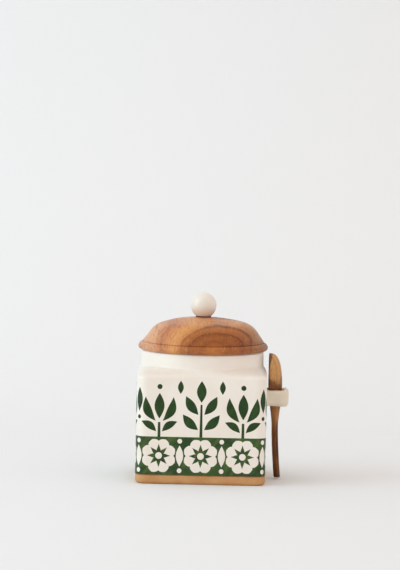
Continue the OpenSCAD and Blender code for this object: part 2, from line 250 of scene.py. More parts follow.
class Graph:
    """A material's nodes, with a short call for each kind that the finishes need."""

    def __init__(self, name, roughness=0.5, **settings):
        self.material = bpy.data.materials.new(name)
        self.material.use_nodes = True
        self.tree = self.material.node_tree
        self.shader = self.tree.nodes["Principled BSDF"]
        self.set("Roughness", roughness)
        for socket, value in settings.items():
            self.set(socket.replace("_", " "), value)
        self.place = self.tree.nodes.new("ShaderNodeTexCoord").outputs["Object"]

    def set(self, socket, value):
        """Sets or joins one socket of the surface shader."""
        self.feed(self.shader.inputs[socket], value)

    def feed(self, socket, value):
        if isinstance(value, bpy.types.NodeSocket):
            self.tree.links.new(value, socket)
        elif value is not None:
            socket.default_value = value

    def node(self, kind, values=(), **settings):
        made = self.tree.nodes.new(kind)
        for key, value in settings.items():
            setattr(made, key, value)
        for key, value in (values.items() if isinstance(values, dict) else enumerate(values)):
            self.feed(made.inputs[key], value)
        return made

    def math(self, operation, *values):
        return self.node("ShaderNodeMath", values, operation=operation).outputs[0]

    def times(self, *values):
        return self.math("MULTIPLY", *values)

    def vector(self, operation, *values):
        made = self.node("ShaderNodeVectorMath", values, operation=operation)
        return made.outputs["Value" if operation == "LENGTH" else "Vector"]

    def about(self, place=(0, 0, 0), turn=(0, 0, 0), unit=(MM, MM, MM)):
        """Coordinates about a place, turned by degrees, in units of the size given."""
        made = self.node("ShaderNodeMapping", {"Vector": self.place}, vector_type="TEXTURE")
        made.inputs["Location"].default_value = place
        made.inputs["Rotation"].default_value = [math.radians(a) for a in turn]
        made.inputs["Scale"].default_value = unit
        return made.outputs[0]

    def noise(self, vector, scale, detail=2.0, roughness=0.5, distortion=0.0, colour=False):
        made = self.node("ShaderNodeTexNoise", {"Vector": vector, "Scale": scale, "Detail": detail,
                                                "Roughness": roughness, "Distortion": distortion})
        return made.outputs["Color" if colour else "Fac"]

    def wander(self, place, scale, detail, reach):
        """A slow drift about a place, up to half the reach each way."""
        drift = self.vector("SUBTRACT", self.noise(place, scale, detail, colour=True), (0.5, 0.5, 0.5))
        return self.vector("MULTIPLY", drift, reach)

    def cells(self, vector, scale):
        return self.node("ShaderNodeTexVoronoi", {"Vector": vector, "Scale": scale}).outputs["Distance"]

    def span(self, value, low, high, to_low=0.0, to_high=1.0):
        """The value's stretch from low to high, moved smoothly to another stretch."""
        made = self.node("ShaderNodeMapRange", {"Value": value, "From Min": low, "From Max": high,
                                                "To Min": to_low, "To Max": to_high},
                         interpolation_type="SMOOTHSTEP")
        return made.outputs["Result"]

    def ramp(self, value, stops):
        """Display colours along a value, straight from one stop to the next."""
        made = self.node("ShaderNodeValToRGB", (value,))
        elements = made.color_ramp.elements
        while len(elements) < len(stops):
            elements.new(0.5)
        for element, (position, colour) in zip(elements, stops):
            element.position = position
            element.color = linear(*colour)
        return made.outputs["Color"]

    def blend(self, share, a, b, kind="MIX"):
        """A mix of two colours; one that is given as a tuple is a display colour."""
        made = self.node("ShaderNodeMix", data_type="RGBA", blend_type=kind)
        sockets = {s.identifier: s for s in made.inputs}
        for place, value in (("Factor_Float", share), ("A_Color", a), ("B_Color", b)):
            self.feed(sockets[place], linear(*value) if isinstance(value, tuple) else value)
        return next(s for s in made.outputs if s.identifier == "Result_Color")

    def parts(self, vector):
        return tuple(self.node("ShaderNodeSeparateXYZ", (vector,)).outputs)

    def joined(self, x, y, z):
        return self.node("ShaderNodeCombineXYZ", (x, y, z)).outputs[0]

    def bump(self, height, distance, strength=1.0, normal=None):
        return self.node("ShaderNodeBump", {"Height": height, "Strength": strength, "Distance": distance,
                                            "Normal": normal}).outputs[0]

    def attribute(self, name):
        return self.node("ShaderNodeAttribute", attribute_name=name).outputs["Fac"]

    def finish(self, colour, rough=None, normal=None):
        """Sets or joins the colour and, where given, the roughness and the normal."""
        for socket, value in (("Base Color", colour), ("Roughness", rough), ("Normal", normal)):
            self.set(socket, value)
        return self.material


# Finishes of the ceramic

def glaze_bump(g, normal=None):
    """The slight orange-peel of a satin glaze."""
    grain = g.about()
    fine = g.noise(grain, 0.55, 3.0, 0.6)
    broad = g.noise(grain, 0.06, 2.0)
    soft = g.bump(broad, 0.30 * MM, 0.35, normal)
    return g.bump(fine, 0.03 * MM, 0.35, soft)


def cream_glaze(name, light, deep, speck=0.25, gloss=0.5):
    """Satin cream glaze, deeper in patches, with a few faint iron specks."""
    g = Graph(name, Coat_Weight=gloss, Coat_Roughness=0.34)
    grain = g.about()
    patch = g.span(g.noise(grain, 0.035, 3.0, 0.55), 0.35, 0.7)
    tone = g.blend(patch, light, deep)
    dots = g.span(g.cells(grain, 0.16), 0.035, 0.075, 1.0, 0.0)
    rare = g.span(g.noise(grain, 0.11, 1.0), 0.56, 0.62)
    mark = g.times(g.times(dots, rare), speck)
    return g.finish(g.blend(mark, tone, (120, 92, 66)),
                    g.span(g.noise(grain, 0.2, 2.0), 0.3, 0.7, 0.34, 0.44),
                    glaze_bump(g))


def bare_clay():
    """The unglazed foot: warm tan, sandy, browner in a thin line under the glaze."""
    g = Graph("bare_clay")
    grain = g.about()
    sand = g.noise(grain, 1.6, 4.0, 0.65)
    patch = g.noise(grain, 0.05, 3.0, 0.5)
    tone = g.blend(g.span(patch, 0.3, 0.7), (206, 157, 103), (194, 141, 86))
    tone = g.blend(g.span(sand, 0.52, 0.72, 0.0, 0.5), tone, (150, 101, 62))
    pale = g.span(g.cells(grain, 0.9), 0.06, 0.16, 0.45, 0.0)
    tone = g.blend(pale, tone, (222, 186, 148))
    height = g.parts(grain)[2]
    wave = g.math("MULTIPLY_ADD", g.noise(grain, 0.12, 2.0), 0.8, height)
    flash = g.span(wave, FOOT_Z / MM - 0.7, FOOT_Z / MM + 0.2, 0.0, 0.85)
    return g.finish(g.blend(flash, tone, (92, 58, 32)),
                    g.span(sand, 0.3, 0.7, 0.72, 0.9),
                    g.bump(sand, 0.12 * MM, 0.6))


def green_paint(name, dark, warm, light, light_share):
    """Brushed green under the glaze, thick and thin, a little darker at each shape's edge."""
    g = Graph(name, Coat_Weight=0.1, Coat_Roughness=0.34, Specular_IOR_Level=0.2)
    grain = g.about()
    wash = g.noise(grain, 0.06, 3.0, 0.55, 0.6)
    stroke = g.noise(g.about(turn=(0, 24, 0), unit=(0.7 * MM, 0.7 * MM, 2.4 * MM)), 0.14, 2.0, 0.5)
    tone = g.blend(g.span(wash, 0.38, 0.62), dark, warm)
    tone = g.blend(g.span(stroke, 0.48, 0.68, 0.0, light_share), tone, light)
    rim = g.times(g.attribute("rim"), 0.3)
    return g.finish(g.blend(rim, tone, (26, 42, 20)),
                    g.span(wash, 0.3, 0.7, 0.32, 0.42),
                    glaze_bump(g))


# Finishes of the wood

def lid_wood(name, centre, tilt):
    """Turned wood with its rings about a line from front to back: a red-brown heart with a thin dark
    line round it, and golden, streaked wood outside."""
    g = Graph(name, Specular_IOR_Level=0.14, Coat_Weight=0.32, Coat_Roughness=0.44, Sheen_Weight=0.16,
              Sheen_Roughness=0.32)
    raw = g.about(place=centre, turn=tilt)
    warp = g.vector("ADD", g.wander(raw, 0.018, 1.0, (7, 0, 3)), g.wander(raw, 0.085, 1.0, (1.6, 0, 1.2)))
    x, y, z = g.parts(g.vector("ADD", raw, warp))
    ring = g.vector("LENGTH", g.joined(x, 0.0, g.times(z, 1.78)))

    bands = g.ramp(g.math("DIVIDE", ring, 100), [
        (0.00, (184, 112, 50)), (0.08, (172, 100, 42)), (0.15, (146, 80, 30)),
        (0.20, (162, 92, 38)), (0.245, (150, 82, 32)), (0.268, (132, 70, 26)),
        (0.29, (168, 98, 44)), (0.33, (180, 108, 54)), (0.352, (172, 102, 50)),
        (0.375, (202, 134, 76)), (0.43, (220, 154, 90)), (0.49, (206, 138, 86)),
        (0.54, (186, 116, 74)), (0.60, (214, 154, 112)), (0.68, (221, 164, 124)),
        (0.76, (196, 134, 98)), (0.86, (214, 154, 110)), (1.00, (204, 144, 100))])
    across, _, height = g.parts(g.about())
    bead_z = LID_LOW.z / MM + 7.5
    bands = g.blend(g.span(height, bead_z - 1, bead_z + 1, 0.2, 0.0), bands, (200, 128, 74))
    # Painted shade: the lid's right side, away from the lamp, is darkened towards mauve-brown; this is partly
    # the wood's own tint there.
    right_shade_and_tint = g.span(across, 28, 62, 0.0, 0.72)
    bands = g.blend(right_shade_and_tint, bands, (140, 128, 134), "MULTIPLY")
    off = g.math("ABSOLUTE", g.math("SUBTRACT", ring, 35.4))
    line = g.times(g.span(off, 0.3, 1.7, 1.0, 0.0), g.span(across, -20, 26, 0.1, 0.52))
    line = g.times(line, g.span(height, bead_z - 1, bead_z + 3, 0.25, 1.0))
    bands = g.blend(line, bands, (88, 44, 20))

    spread = g.math("MULTIPLY_ADD", g.noise(raw, 0.05, 1.0), 7.0, ring)
    lines = g.math("SINE", g.times(spread, 2.3))
    broken = g.span(g.noise(raw, 0.09, 2.0), 0.40, 0.62, 0.0, 0.24)
    late = g.times(g.span(lines, -0.2, 1.0), broken)
    tone = g.blend(late, bands, (128, 70, 40), "MULTIPLY")

    fibre = g.noise(g.joined(x, g.times(y, 0.07), g.times(z, 0.7)), 0.55, 4.0, 0.66)
    tone = g.blend(g.span(fibre, 0.50, 0.74, 0.0, 0.42), tone, (104, 50, 22))
    tone = g.blend(g.span(fibre, 0.26, 0.46, 0.30, 0.0), tone, (232, 168, 106))

    pore = g.noise(g.joined(x, g.times(y, 0.14), z), 2.2, 2.0, 0.5)
    holes = g.span(pore, 0.62, 0.71)
    lathe = g.math("SINE", g.times(height, 9.0))
    grain = g.bump(fibre, 0.06 * MM, 0.35, g.bump(lathe, 0.008 * MM, 0.4))
    return g.finish(g.blend(g.times(holes, 0.5), tone, (74, 34, 16)), g.span(fibre, 0.3, 0.7, 0.42, 0.54),
                    g.bump(holes, 0.10 * MM, 0.4, grain))


# Where the handle's red streak begins, in millimetres from the jar's axis
HANDLE_RED_X = 73.6


def scoop_wood():
    """Carved wood, golden in the bowl and darker from the loop down."""
    g = Graph("scoop_wood", Specular_IOR_Level=0.18, Coat_Weight=0.12, Coat_Roughness=0.4)
    raw = g.about(place=(SCOOP_HIGH.x + 9 * MM, 4 * MM, LOOP_TOP_Z))
    x, y, z = g.parts(g.vector("ADD", raw, g.wander(raw, 0.03, 2.0, (9, 12, 0))))
    raw_x = g.math("MULTIPLY_ADD", z, 0.02, g.parts(g.about())[0])
    lean = g.times(z, 0.11)
    ring = g.vector("LENGTH", g.joined(g.math("ADD", x, lean), y, 0.0))
    bands = g.math("SINE", g.times(ring, 0.95))

    drift = g.math("MULTIPLY_ADD", g.noise(raw, 0.11, 2.0), 18.0, z)
    drift = g.math("MULTIPLY_ADD", drift, 1 / 124, 79 / 124)
    # The darker stops at 0.72 and 0.765, near the loop's top, are painted shade on the bowl's low part; the
    # other stops are the wood's tone.
    zone = g.ramp(drift, [
        (0.00, (84, 47, 18)), (0.06, (104, 60, 24)), (0.12, (118, 69, 29)), (0.24, (129, 78, 40)),
        (0.36, (138, 86, 48)), (0.50, (176, 122, 74)), (0.63, (184, 128, 78)), (0.72, (122, 74, 36)),
        (0.765, (132, 84, 42)), (0.83, (200, 148, 92)), (1.00, (208, 160, 104))])
    tone = g.blend(g.span(bands, 0.1, 1.0, 0.0, 0.2), zone, (104, 60, 34))

    fibre = g.noise(g.joined(x, y, g.times(z, 0.05)), 1.0, 4.0, 0.6)
    tone = g.blend(g.span(fibre, 0.50, 0.74, 0.0, 0.34), tone, (80, 40, 18))
    tone = g.blend(g.span(fibre, 0.28, 0.46, 0.18, 0.0), tone, (216, 162, 106))
    streak = g.span(g.noise(g.joined(x, y, g.times(z, 0.10)), 0.34, 2.0), 0.54, 0.66, 0.0, 0.4)
    low = g.span(z, -22, -42, 0.0, 1.0)
    tone = g.blend(g.times(streak, low), tone, (62, 22, 9))
    heart = g.times(g.span(raw_x, HANDLE_RED_X, HANDLE_RED_X + 1.6),
                   g.times(g.span(z, -30, -40), g.span(z, -76, -60)))
    tone = g.blend(g.times(heart, 0.75), tone, (58, 18, 7))
    # Painted shade in the hollow and on the rim towards the jar, near the bowl's tip; partly the darker end
    # grain there.
    wide, _, high = g.parts(g.about(place=(BODY_HALF + RIM_GAP, 0, LOOP_TOP_Z)))
    jar_side_shade_and_grain = g.math("MULTIPLY_ADD", high, -0.24, g.math("ADD", wide, 5.2))
    tone = g.blend(g.span(jar_side_shade_and_grain, -0.5, 0.7, 0.85, 0.0), tone, (104, 66, 36))
    pore = g.noise(g.joined(x, y, g.times(z, 0.16)), 2.4, 2.0)
    holes = g.span(pore, 0.60, 0.70)
    return g.finish(g.blend(g.times(holes, 0.45), tone, (70, 36, 16)),
                    g.span(fibre, 0.3, 0.7, 0.42, 0.56),
                    g.bump(holes, 0.06 * MM, 0.4, g.bump(fibre, 0.05 * MM, 0.4)))


# Finishes of the small parts

def leather():
    g = Graph("leather", 0.7)
    grain = g.about()
    return g.finish(g.blend(g.span(g.noise(grain, 0.3, 3.0), 0.3, 0.7), (124, 86, 62), (98, 66, 46)),
                    normal=g.bump(g.cells(grain, 2.2), 0.08 * MM, 0.6))


def silicone():
    g = Graph("silicone", 0.48, Subsurface_Weight=0.35, Subsurface_Scale=2 * MM,
              Subsurface_Radius=(1.0, 0.8, 0.6))
    grain = g.about()
    return g.finish(g.blend(g.span(g.noise(grain, 0.08, 3.0), 0.3, 0.7), (236, 232, 224), (222, 216, 206)),
                    normal=g.bump(g.noise(grain, 1.8, 3.0), 0.04 * MM, 0.4))


def turned_metal(name, light, dark, pitch=30):
    """Metal with fine turning marks about Z, a little stained."""
    g = Graph(name, Metallic=1.0)
    x, y, z = g.parts(g.about())
    reach = g.vector("LENGTH", g.joined(x, y, 0.0))
    marks = g.math("SINE", g.times(g.math("ADD", reach, z), pitch))
    stain = g.noise(g.about(), 0.4, 3.0)
    return g.finish(g.blend(g.span(stain, 0.35, 0.7), light, dark),
                    g.span(stain, 0.3, 0.7, 0.24, 0.42),
                    g.bump(marks, 0.01 * MM, 0.5))


# Jar

def square_reach(t, a, r):
    """Reach of a square of half width a and corner radius r, at angle t off a side's middle."""
    c = a - r
    if a * math.sin(t) <= c * math.cos(t):
        return a / math.cos(t)
    off = c * (math.cos(t) - math.sin(t))
    return c * (math.cos(t) + math.sin(t)) + math.sqrt(max(0.0, r * r - off * off))


def side_angles(flat_steps=26, corner_steps=14):
    """The angles of a quarter ring, from one side's middle to the next."""
    eighth = [math.atan2(CORNER_C * t, BODY_HALF) for t in shares(flat_steps)[:-1]]
    for t in shares(corner_steps):
        turn = t * math.pi / 4
        eighth.append(math.atan2(CORNER_C + CORNER_R * math.sin(turn), CORNER_C + CORNER_R * math.cos(turn)))
    return eighth + [math.pi / 2 - t for t in reversed(eighth[1:-1])]


def dent(place):
    """How far the wall lies inside its true face, at a place on it."""
    return DENT_T * (0.5 + 0.5 * noise.noise(Vector(place) / DENT_L))


def foot_wave(place):
    """How far the glaze's lower edge wanders up or down at a place."""
    return WAVE_T * noise.noise(Vector((place[0], place[1], 0)) / WAVE_L)


def jar_ring(angles, z, a, r, round_r=0.0, roundness=0.0, inset=0.0, wavy=0.0):
    """One ring of the jar: a rounded square, or a circle where its roundness is 1."""
    ring = []
    for quarter in range(4):
        for t in angles:
            reach = mix(square_reach(min(t, math.pi / 2 - t), a, r), round_r, roundness) - inset
            turn = quarter * math.pi / 2 + t
            flat = Vector((reach * math.cos(turn), reach * math.sin(turn), 0))
            ring.append(flat + Vector((0, 0, z + wavy * foot_wave(flat))))
    return ring


def jar_rings():
    """The jar's rings, from its underside over the lip to its floor, and how many are the bare foot's."""
    angles = side_angles()
    base_a, base_r = BODY_HALF - BASE_EDGE_R, CORNER_R - BASE_EDGE_R / 2
    inner_a, inner_r = BODY_HALF - WALL_T, CORNER_R - WALL_T
    lip_r = NECK_T * LIP_SHARE
    bore_r = NECK_R - NECK_T
    inner_neck_z = NECK_Z - WALL_T
    rings = []

    def add(z, a=BODY_HALF, r=CORNER_R, *rest, **more):
        rings.append(jar_ring(angles, z, a, r, *rest, **more))

    for t in BASE_SHARES:
        add(0.0, base_a * t, base_r * t)
    for t, sin, cos in quarter(8):
        add(BASE_EDGE_R * (1 - cos), base_a + BASE_EDGE_R * sin, mix(base_r, CORNER_R, sin),
            inset=GLAZE_T * t)
    for t in shares(3)[1:]:
        add(mix(BASE_EDGE_R, FOOT_Z, t), inset=GLAZE_T, wavy=t)
    foot_rings = len(rings)
    for _, sin, cos in quarter(EDGE_RINGS)[1:]:
        add(FOOT_Z + GLAZE_T * (1 - cos), inset=GLAZE_T * (1 - sin), wavy=1.0)
    for t in shares(WALL_RINGS)[1:]:
        add(mix(FOOT_Z + GLAZE_T, SHOULDER_LOW, t), wavy=max(0.0, 1 - t * WAVE_FADE))
    for t in shares(SHOULDER_RINGS)[1:]:
        add(mix(SHOULDER_LOW, SHOULDER_TOP, t), round_r=NECK_OUT_R, roundness=ease(t ** SHOULDER_FULL))
    for t in shares(5)[1:]:
        add(mix(SHOULDER_TOP, RIM_Z - lip_r, t), round_r=NECK_OUT_R, roundness=1)
    for _, sin, cos in quarter(8)[1:]:
        add(RIM_Z - lip_r * (1 - sin), round_r=NECK_OUT_R - lip_r * (1 - cos), roundness=1)
    for _, sin, cos in quarter(8)[::-1]:
        add(RIM_Z - lip_r * (1 - sin), round_r=bore_r + lip_r * (1 - cos), roundness=1)
    for t in shares(18)[1:]:
        down = t * 1.5 - 0.5
        add(mix(RIM_Z - lip_r, inner_neck_z, min(t * 3, 1)) - SHOULDER_H * max(0.0, down),
            inner_a, inner_r, bore_r, 1 - ease(down))
    for t in shares(20)[1:]:
        add(mix(inner_neck_z - SHOULDER_H, FLOOR_T + FLOOR_EDGE_R, t), inner_a, inner_r)
    for _, sin, cos in quarter(8)[1:]:
        add(FLOOR_T + FLOOR_EDGE_R * (1 - sin), inner_a - FLOOR_EDGE_R * (1 - cos), inner_r)
    for t in FLOOR_SHARES:
        add(FLOOR_T, (inner_a - FLOOR_EDGE_R) * t, inner_r * t)
    return rings, foot_rings


def fade(z):
    """The share of the wall's bulge that is left at a height."""
    return (ease((z - BULGE_START) / BULGE_L)
            * (1 - ease((z - SHOULDER_LOW) / (SHOULDER_TOP - SHOULDER_LOW))))


def uneven(place):
    """Moves a place on the upright wall inward by the wall's unevenness there."""
    flat = Vector((place[0], place[1], 0))
    if flat.length < TINY:
        return Vector(place)
    rise = ease((place[2] - FOOT_Z) / DENT_RISE) * (1 - ease((place[2] - SHOULDER_Z) / SHOULDER_H))
    aside = min(abs(flat.x), abs(flat.y), CORNER_C) / CORNER_C
    return Vector(place) - flat.normalized() * (dent(place) * rise + BULGE_T * aside ** 3 * fade(place[2]))


def make_jar(glaze, clay, broken):
    rings, foot_rings = jar_rings()
    outer = foot_rings + EDGE_RINGS + WALL_RINGS + SHOULDER_RINGS
    rings = [[uneven(p) for p in ring] if i < outer else ring for i, ring in enumerate(rings)]
    jar = loft("jar_body", rings, sharp=50)
    dress(jar, "jar", (glaze, clay, broken), ["jar_shell"])
    n = len(rings[0])
    for polygon in jar.data.polygons:
        if all(v < foot_rings * n or v == len(rings) * n for v in polygon.vertices):
            polygon.material_index = 1
        elif all(v < (foot_rings + EDGE_RINGS) * n for v in polygon.vertices):
            polygon.material_index = 2
    return jar


# Painting on the jar's wall
# A place on the wall is (s, z): the way round it from the middle of the front, and the height.

PAINT_T = 0.12 * MM
PAINT_SINK = 0.03 * MM
PAINT_EDGE = 0.26 * MM
BAND_TOP = 47.2 * MM
BAND_LOW = FOOT_Z + 0.8 * GLAZE_T
# Longest edge of an outline
PAINT_STEP = 0.7 * MM
MOTIFS = 3
MOTIF_L = SIDE_L / MOTIFS
# How far from the corner one side's band runs on into the next
BAND_JOIN = 3.4 * MM
# Spacing of the points inside the paint, and their least distance from its rim as a share of the rim
FILL_S, FILL_Z = 1.3 * MM, 2.6 * MM
CLEAR_SHARE = 0.93
# A distance within which a point counts as on an edge
NEAR = 1e-6


def wall_place(s, z, lift=0.0):
    """The point of the wall at (s, z), lifted off it."""
    side = math.floor(s / SIDE_L + 0.5)
    local = s - side * SIDE_L
    way = 1 if local >= 0 else -1
    turn = max(0.0, abs(local) - CORNER_C) / CORNER_R
    normal = Vector((way * math.sin(turn), -math.cos(turn), 0))
    place = Vector((way * min(abs(local), CORNER_C), -CORNER_C, z)) + normal * CORNER_R
    quarter = Euler((0, 0, side * math.pi / 2)).to_matrix()
    return uneven(quarter @ place) + quarter @ normal * lift


def spot(centre, r, count=20):
    return [Vector((centre[0] + r * math.cos(2 * math.pi * i / count),
                    centre[1] + r * math.sin(2 * math.pi * i / count))) for i in range(count)]


def blade(root, tip, width, bow=0.0, blunt=1.0, late=1.0, count=14):
    """Outline of a leaf or petal. It bows to its left, is rounder where blunt is under 1, and is widest
    nearer its tip where late is over 1."""
    root, tip = Vector(root), Vector(tip)
    way = tip - root
    side = Vector((-way.y, way.x)).normalized()
    left, right = [], []
    for t in shares(count):
        middle = root + way * t + side * bow * 4 * t * (1 - t)
        half = width / 2 * math.sin(math.pi * t ** late) ** blunt if 0 < t < 1 else 0.0
        left.append(middle - side * half)
        right.append(middle + side * half)
    return left + right[-2:0:-1]


def leaf(s, root, tip, width, bow=0.0):
    """A blade about the upright line at s. Its sizes are in millimetres."""
    return blade((s + root[0] * MM, root[1] * MM), (s + tip[0] * MM, tip[1] * MM), width * MM, bow=bow * MM)


def stem(s, heights, end_w, start_w=3 * MM):
    """Outline of an upright stem at s that thins from the first height to the last."""
    left, right = [], []
    for z, t in zip(heights, shares(len(heights) - 1)):
        point, side = Vector((s, z * MM)), Vector((mix(start_w, end_w, t) / 2, 0))
        left.append(point + side)
        right.append(point - side)
    return left + right[::-1]


def tall_sprig(s):
    """A stem with two pairs of leaves and a large one at its top."""
    made = [stem(s, (47.0, 58, 66, 72, 79.5), 2 * MM)]
    for z, reach, rise in ((54.4, 18.2, 15.2), (69.4, 15.4, 18.4)):
        for way in (-1, 1):
            made.append(leaf(s, (way * 2.9, z), (way * reach, z + rise), 9.0, -way * 1.3))
    made.append(leaf(s, (0, 81.4), (0, 103.0), 9.6))
    return made


def tulip(s):
    """A flower of three petals on a short stem with two leaves."""
    made = [stem(s, (47.0, 56, 61.6), 2.4 * MM),
            leaf(s, (0, 64.8), (0, 90.6), 10.0),
            spot((s, 96.6 * MM), 2.6 * MM)]
    for way in (-1, 1):
        made += [leaf(s, (way * 3.4, 62.6), (way * 13.8, 86.8), 8.6, -way * 3.6),
                 leaf(s, (way * 2.8, 52.2), (way * 18.0, 62.4), 7.2, way * 1.6)]
    return made


def corner_leaf(s):
    """A leaf with a dot under it, on the jar's corner."""
    return [leaf(s, (0, 71.6), (0, 96.0), 7.6), spot((s, 66.4 * MM), 2.1 * MM)]


def band_daisy(s, z, petals=8):
    """Reserved petals about a ring, as they are left free of paint."""
    centre, made = Vector((s, z)), []
    for i in range(petals):
        a = math.radians(22.5) + 2 * math.pi * i / petals
        root, tip = (centre + Vector((math.cos(a), math.sin(a))) * (r * MM) for r in (5.6, 17.4))
        made.append(blade(root, tip, 10.8 * MM, blunt=0.72, late=1.6))
    return made + [spot(centre, 3.3 * MM, 28)]


def band_spacer(s, z):
    """A reserved upright leaf between two dots."""
    made = [blade((s, z - 10.4 * MM), (s, z + 10.4 * MM), 7.2 * MM)]
    return made + [spot((s, z + way * 14.6 * MM), 2.3 * MM) for way in (-1, 1)]


def even(loop, step):
    """An outline with points added, so that no edge is longer than the step."""
    made = []
    for i, p in enumerate(loop):
        p, q = Vector(p), Vector(loop[(i + 1) % len(loop)])
        steps = max(1, math.ceil((q - p).length / step))
        made += [p.lerp(q, k / steps) for k in range(steps)]
    return made


def fill(outlines, fields=()):
    """Triangles over the outlines, or over the fields given where no outline lies: the points, the
    triangles, and for each point whether it lies on a rim."""
    loops = [even(loop, PAINT_STEP) for loop in (*fields, *outlines)]
    points, faces = [], []
    for loop in loops:
        faces.append(list(range(len(points), len(points) + len(loop))))
        points += loop
    rim_count = len(points)
    tree = kdtree.KDTree(rim_count)
    for i, p in enumerate(points):
        tree.insert((p.x, p.y, 0), i)
    tree.balance()
    extra = []
    for loop in loops:
        for a, b in zip(loop, loop[1:] + loop[:1]):
            way = b - a
            if way.length < TINY:
                continue
            side = Vector((-way.y, way.x)).normalized() * PAINT_EDGE
            extra += [(a + b) / 2 + side, (a + b) / 2 - side]
    low, high = (Vector((least(p.x for p in points), least(p.y for p in points))) for least in (min, max))
    for i in range(int((high.x - low.x) / FILL_S)):
        for j in range(int((high.y - low.y) / FILL_Z)):
            extra.append(low + Vector(((i + 0.5) * FILL_S, (j + 0.5) * FILL_Z)))
    taken = [p for p in extra if tree.find((p.x, p.y, 0))[2] > PAINT_EDGE * CLEAR_SHARE]
    made, _, triangles, sources, _, inside = geometry.delaunay_2d_cdt(
        [tuple(p) for p in points + taken], [], faces, 0, 1e-7)
    # Each triangle comes with the numbers of the loops around it, the fields first
    wanted = [triangle for triangle, around in zip(triangles, inside)
              if around and (max(around) < len(fields)) == bool(fields)]
    return made, wanted, [any(source < rim_count for source in one) for one in sources]


def painted(name, outlines, material, fields=(), ends=()):
    """Paint in slight relief on all four sides. At the ends given one side's paint runs on into the next."""
    flat, triangles, rim = fill(outlines, fields)
    used = sorted({v for triangle in triangles for v in triangle})
    index = {v: i for i, v in enumerate(used)}
    vertices, faces, edge = [], [], []
    for side in range(4):
        first = len(vertices)
        for v in used:
            s, z = flat[v]
            on_rim = rim[v] and not any(abs(s - end) < NEAR for end in ends)
            if fields and z < BAND_LOW + NEAR:
                z += foot_wave(wall_place(s + side * SIDE_L, z))
            vertices.append(wall_place(s + side * SIDE_L, z, -PAINT_SINK if on_rim else PAINT_T))
            edge.append(float(on_rim))
        faces += [[first + index[v] for v in triangle] for triangle in triangles]
    made = piece(name, vertices, faces)
    mark = made.data.attributes.new("rim", "FLOAT", "POINT")
    mark.data.foreach_set("value", edge)
    return dress(made, "jar", (material,))


def make_painting(dark, band):
    """Sprigs and flowers over a band of reserved daisies, on all four sides."""
    gap_half = MOTIF_L / 2
    start = -SIDE_L / 2 - BAND_JOIN
    upper = tall_sprig(0.0) + tulip(-MOTIF_L) + tulip(MOTIF_L)
    upper += [leaf(s, (0, 89.6), (0, 103.0), 5.8) for s in (-gap_half, gap_half)]
    upper += corner_leaf(-SIDE_L / 2)
    painted("painted_sprigs", upper, dark)

    middle = (BAND_LOW + BAND_TOP) / 2
    reserved = []
    for s in (-MOTIF_L, 0.0, MOTIF_L):
        reserved += band_daisy(s, middle)
    for s in (-SIDE_L / 2, -gap_half, gap_half):
        reserved += band_spacer(s, middle)
    end = start + SIDE_L
    field = [Vector(p) for p in ((start, BAND_LOW), (end, BAND_LOW), (end, BAND_TOP), (start, BAND_TOP))]
    painted("painted_band", reserved, band, ends=(start, end), fields=[field])


# Scoop loop

LOOP_T = 5.2 * MM
LOOP_H = LOOP_HIGH.z - LOOP_LOW.z
LOOP_EDGE_R = 2.3 * MM
LOOP_ROUND = ((3.0 * MM, 3.4 * MM), (2.0 * MM, 2.0 * MM), (2.0 * MM, 2.0 * MM), (3.0 * MM, 4.4 * MM))
# How far the thrown strap rises at its end, and sags there
LOOP_RISE = 1.5 * MM
LOOP_SAG = 0.9 * MM
LOOP_LIFT = 0.5 * MM
LOOP_BEND_R = 7 * MM
LOOP_REACH = LOOP_HIGH.x - BODY_HALF
LOOP_FILLET = 2.6 * MM
LOOP_ROOT = 1.2 * MM
LOOP_ROOT_SHARE = 1.2
LOOP_STEP = 1.2 * MM
# Where the rise and the sag start, out from the wall, and how long they take
RISE_FROM, RISE_L = 15 * MM, 5 * MM
SAG_FROM, SAG_L = 4 * MM, 16 * MM
LOOP_DENT_T, LOOP_DENT_L = 0.22 * MM, 6 * MM


def loop_path():
    """The strap's middle line from root to root: each place, its way, and how far out it is."""
    leg_y = LOOP_HIGH.y - LOOP_T / 2
    leg_l = LOOP_REACH - LOOP_T / 2 - LOOP_BEND_R
    bend_y = leg_y - LOOP_BEND_R
    half = []

    def add(place, way, out=LOOP_REACH):
        half.append((Vector((BODY_HALF + place[0], place[1], 0)), Vector((*way, 0)), out))

    for t in shares(26):
        out = mix(-LOOP_ROOT, leg_l, t)
        add((out, -leg_y), (1, 0), out)
    for _, sin, cos in quarter(18)[1:]:
        add((leg_l + LOOP_BEND_R * sin, -bend_y - LOOP_BEND_R * cos), (cos, sin))
    for t in shares(6)[1:]:
        add((leg_l + LOOP_BEND_R, mix(-bend_y, 0, t)), (0, 1))
    return half + [(Vector((p.x, -p.y, 0)), Vector((-w.x, w.y, 0)), out) for p, w, out in half[-2::-1]]


def loop_section():
    """The strap's section about its middle, with soft edges, rounder outside."""
    made = []
    for i, (x, y) in enumerate(((1, 1), (-1, 1), (-1, -1), (1, -1))):
        wide, high = LOOP_ROUND[i]
        made += [Vector((x * (LOOP_T / 2 - wide) + p.x * wide, y * (LOOP_H / 2 - high) + p.y * high))
                 for p in arc((0, 0), 1, 90 * i, 90 * i + 90, 8)]
    return even(made, LOOP_STEP)


